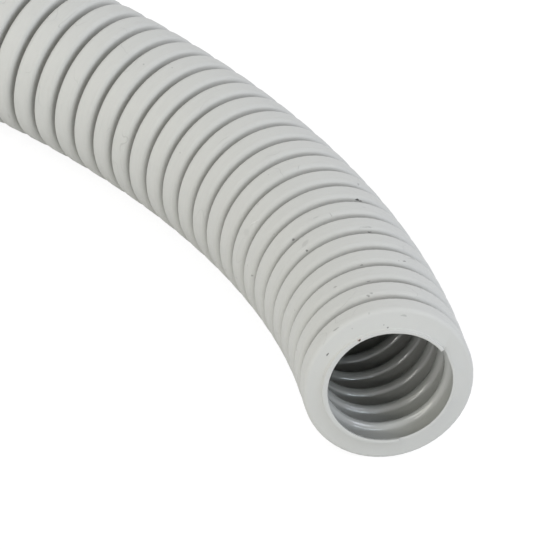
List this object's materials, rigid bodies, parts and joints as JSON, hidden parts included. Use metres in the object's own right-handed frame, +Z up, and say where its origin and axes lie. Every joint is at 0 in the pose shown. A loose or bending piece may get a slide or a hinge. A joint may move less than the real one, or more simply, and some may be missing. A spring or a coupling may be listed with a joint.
{
  "type": "corrugated conduit",
  "caption": "Length of light grey corrugated plastic conduit, straight for most of its length and bent near one end, open right through for cables.",
  "frame": {"origin": "centre of the cut face of the straight end, on the bore's axis", "axes": "+X runs into the conduit from the straight end, along the straight run; -Y is the way the other end bends; +Z is up, and the floor is at z = -10 mm"},
  "size_m": [0.9955, 0.0539, 0.02],
  "materials": {
    "conduit_pvc": "satin"
  },
  "bodies": {
    "root": {"conduit": "conduit_pvc"}
  },
  "joints": []
}
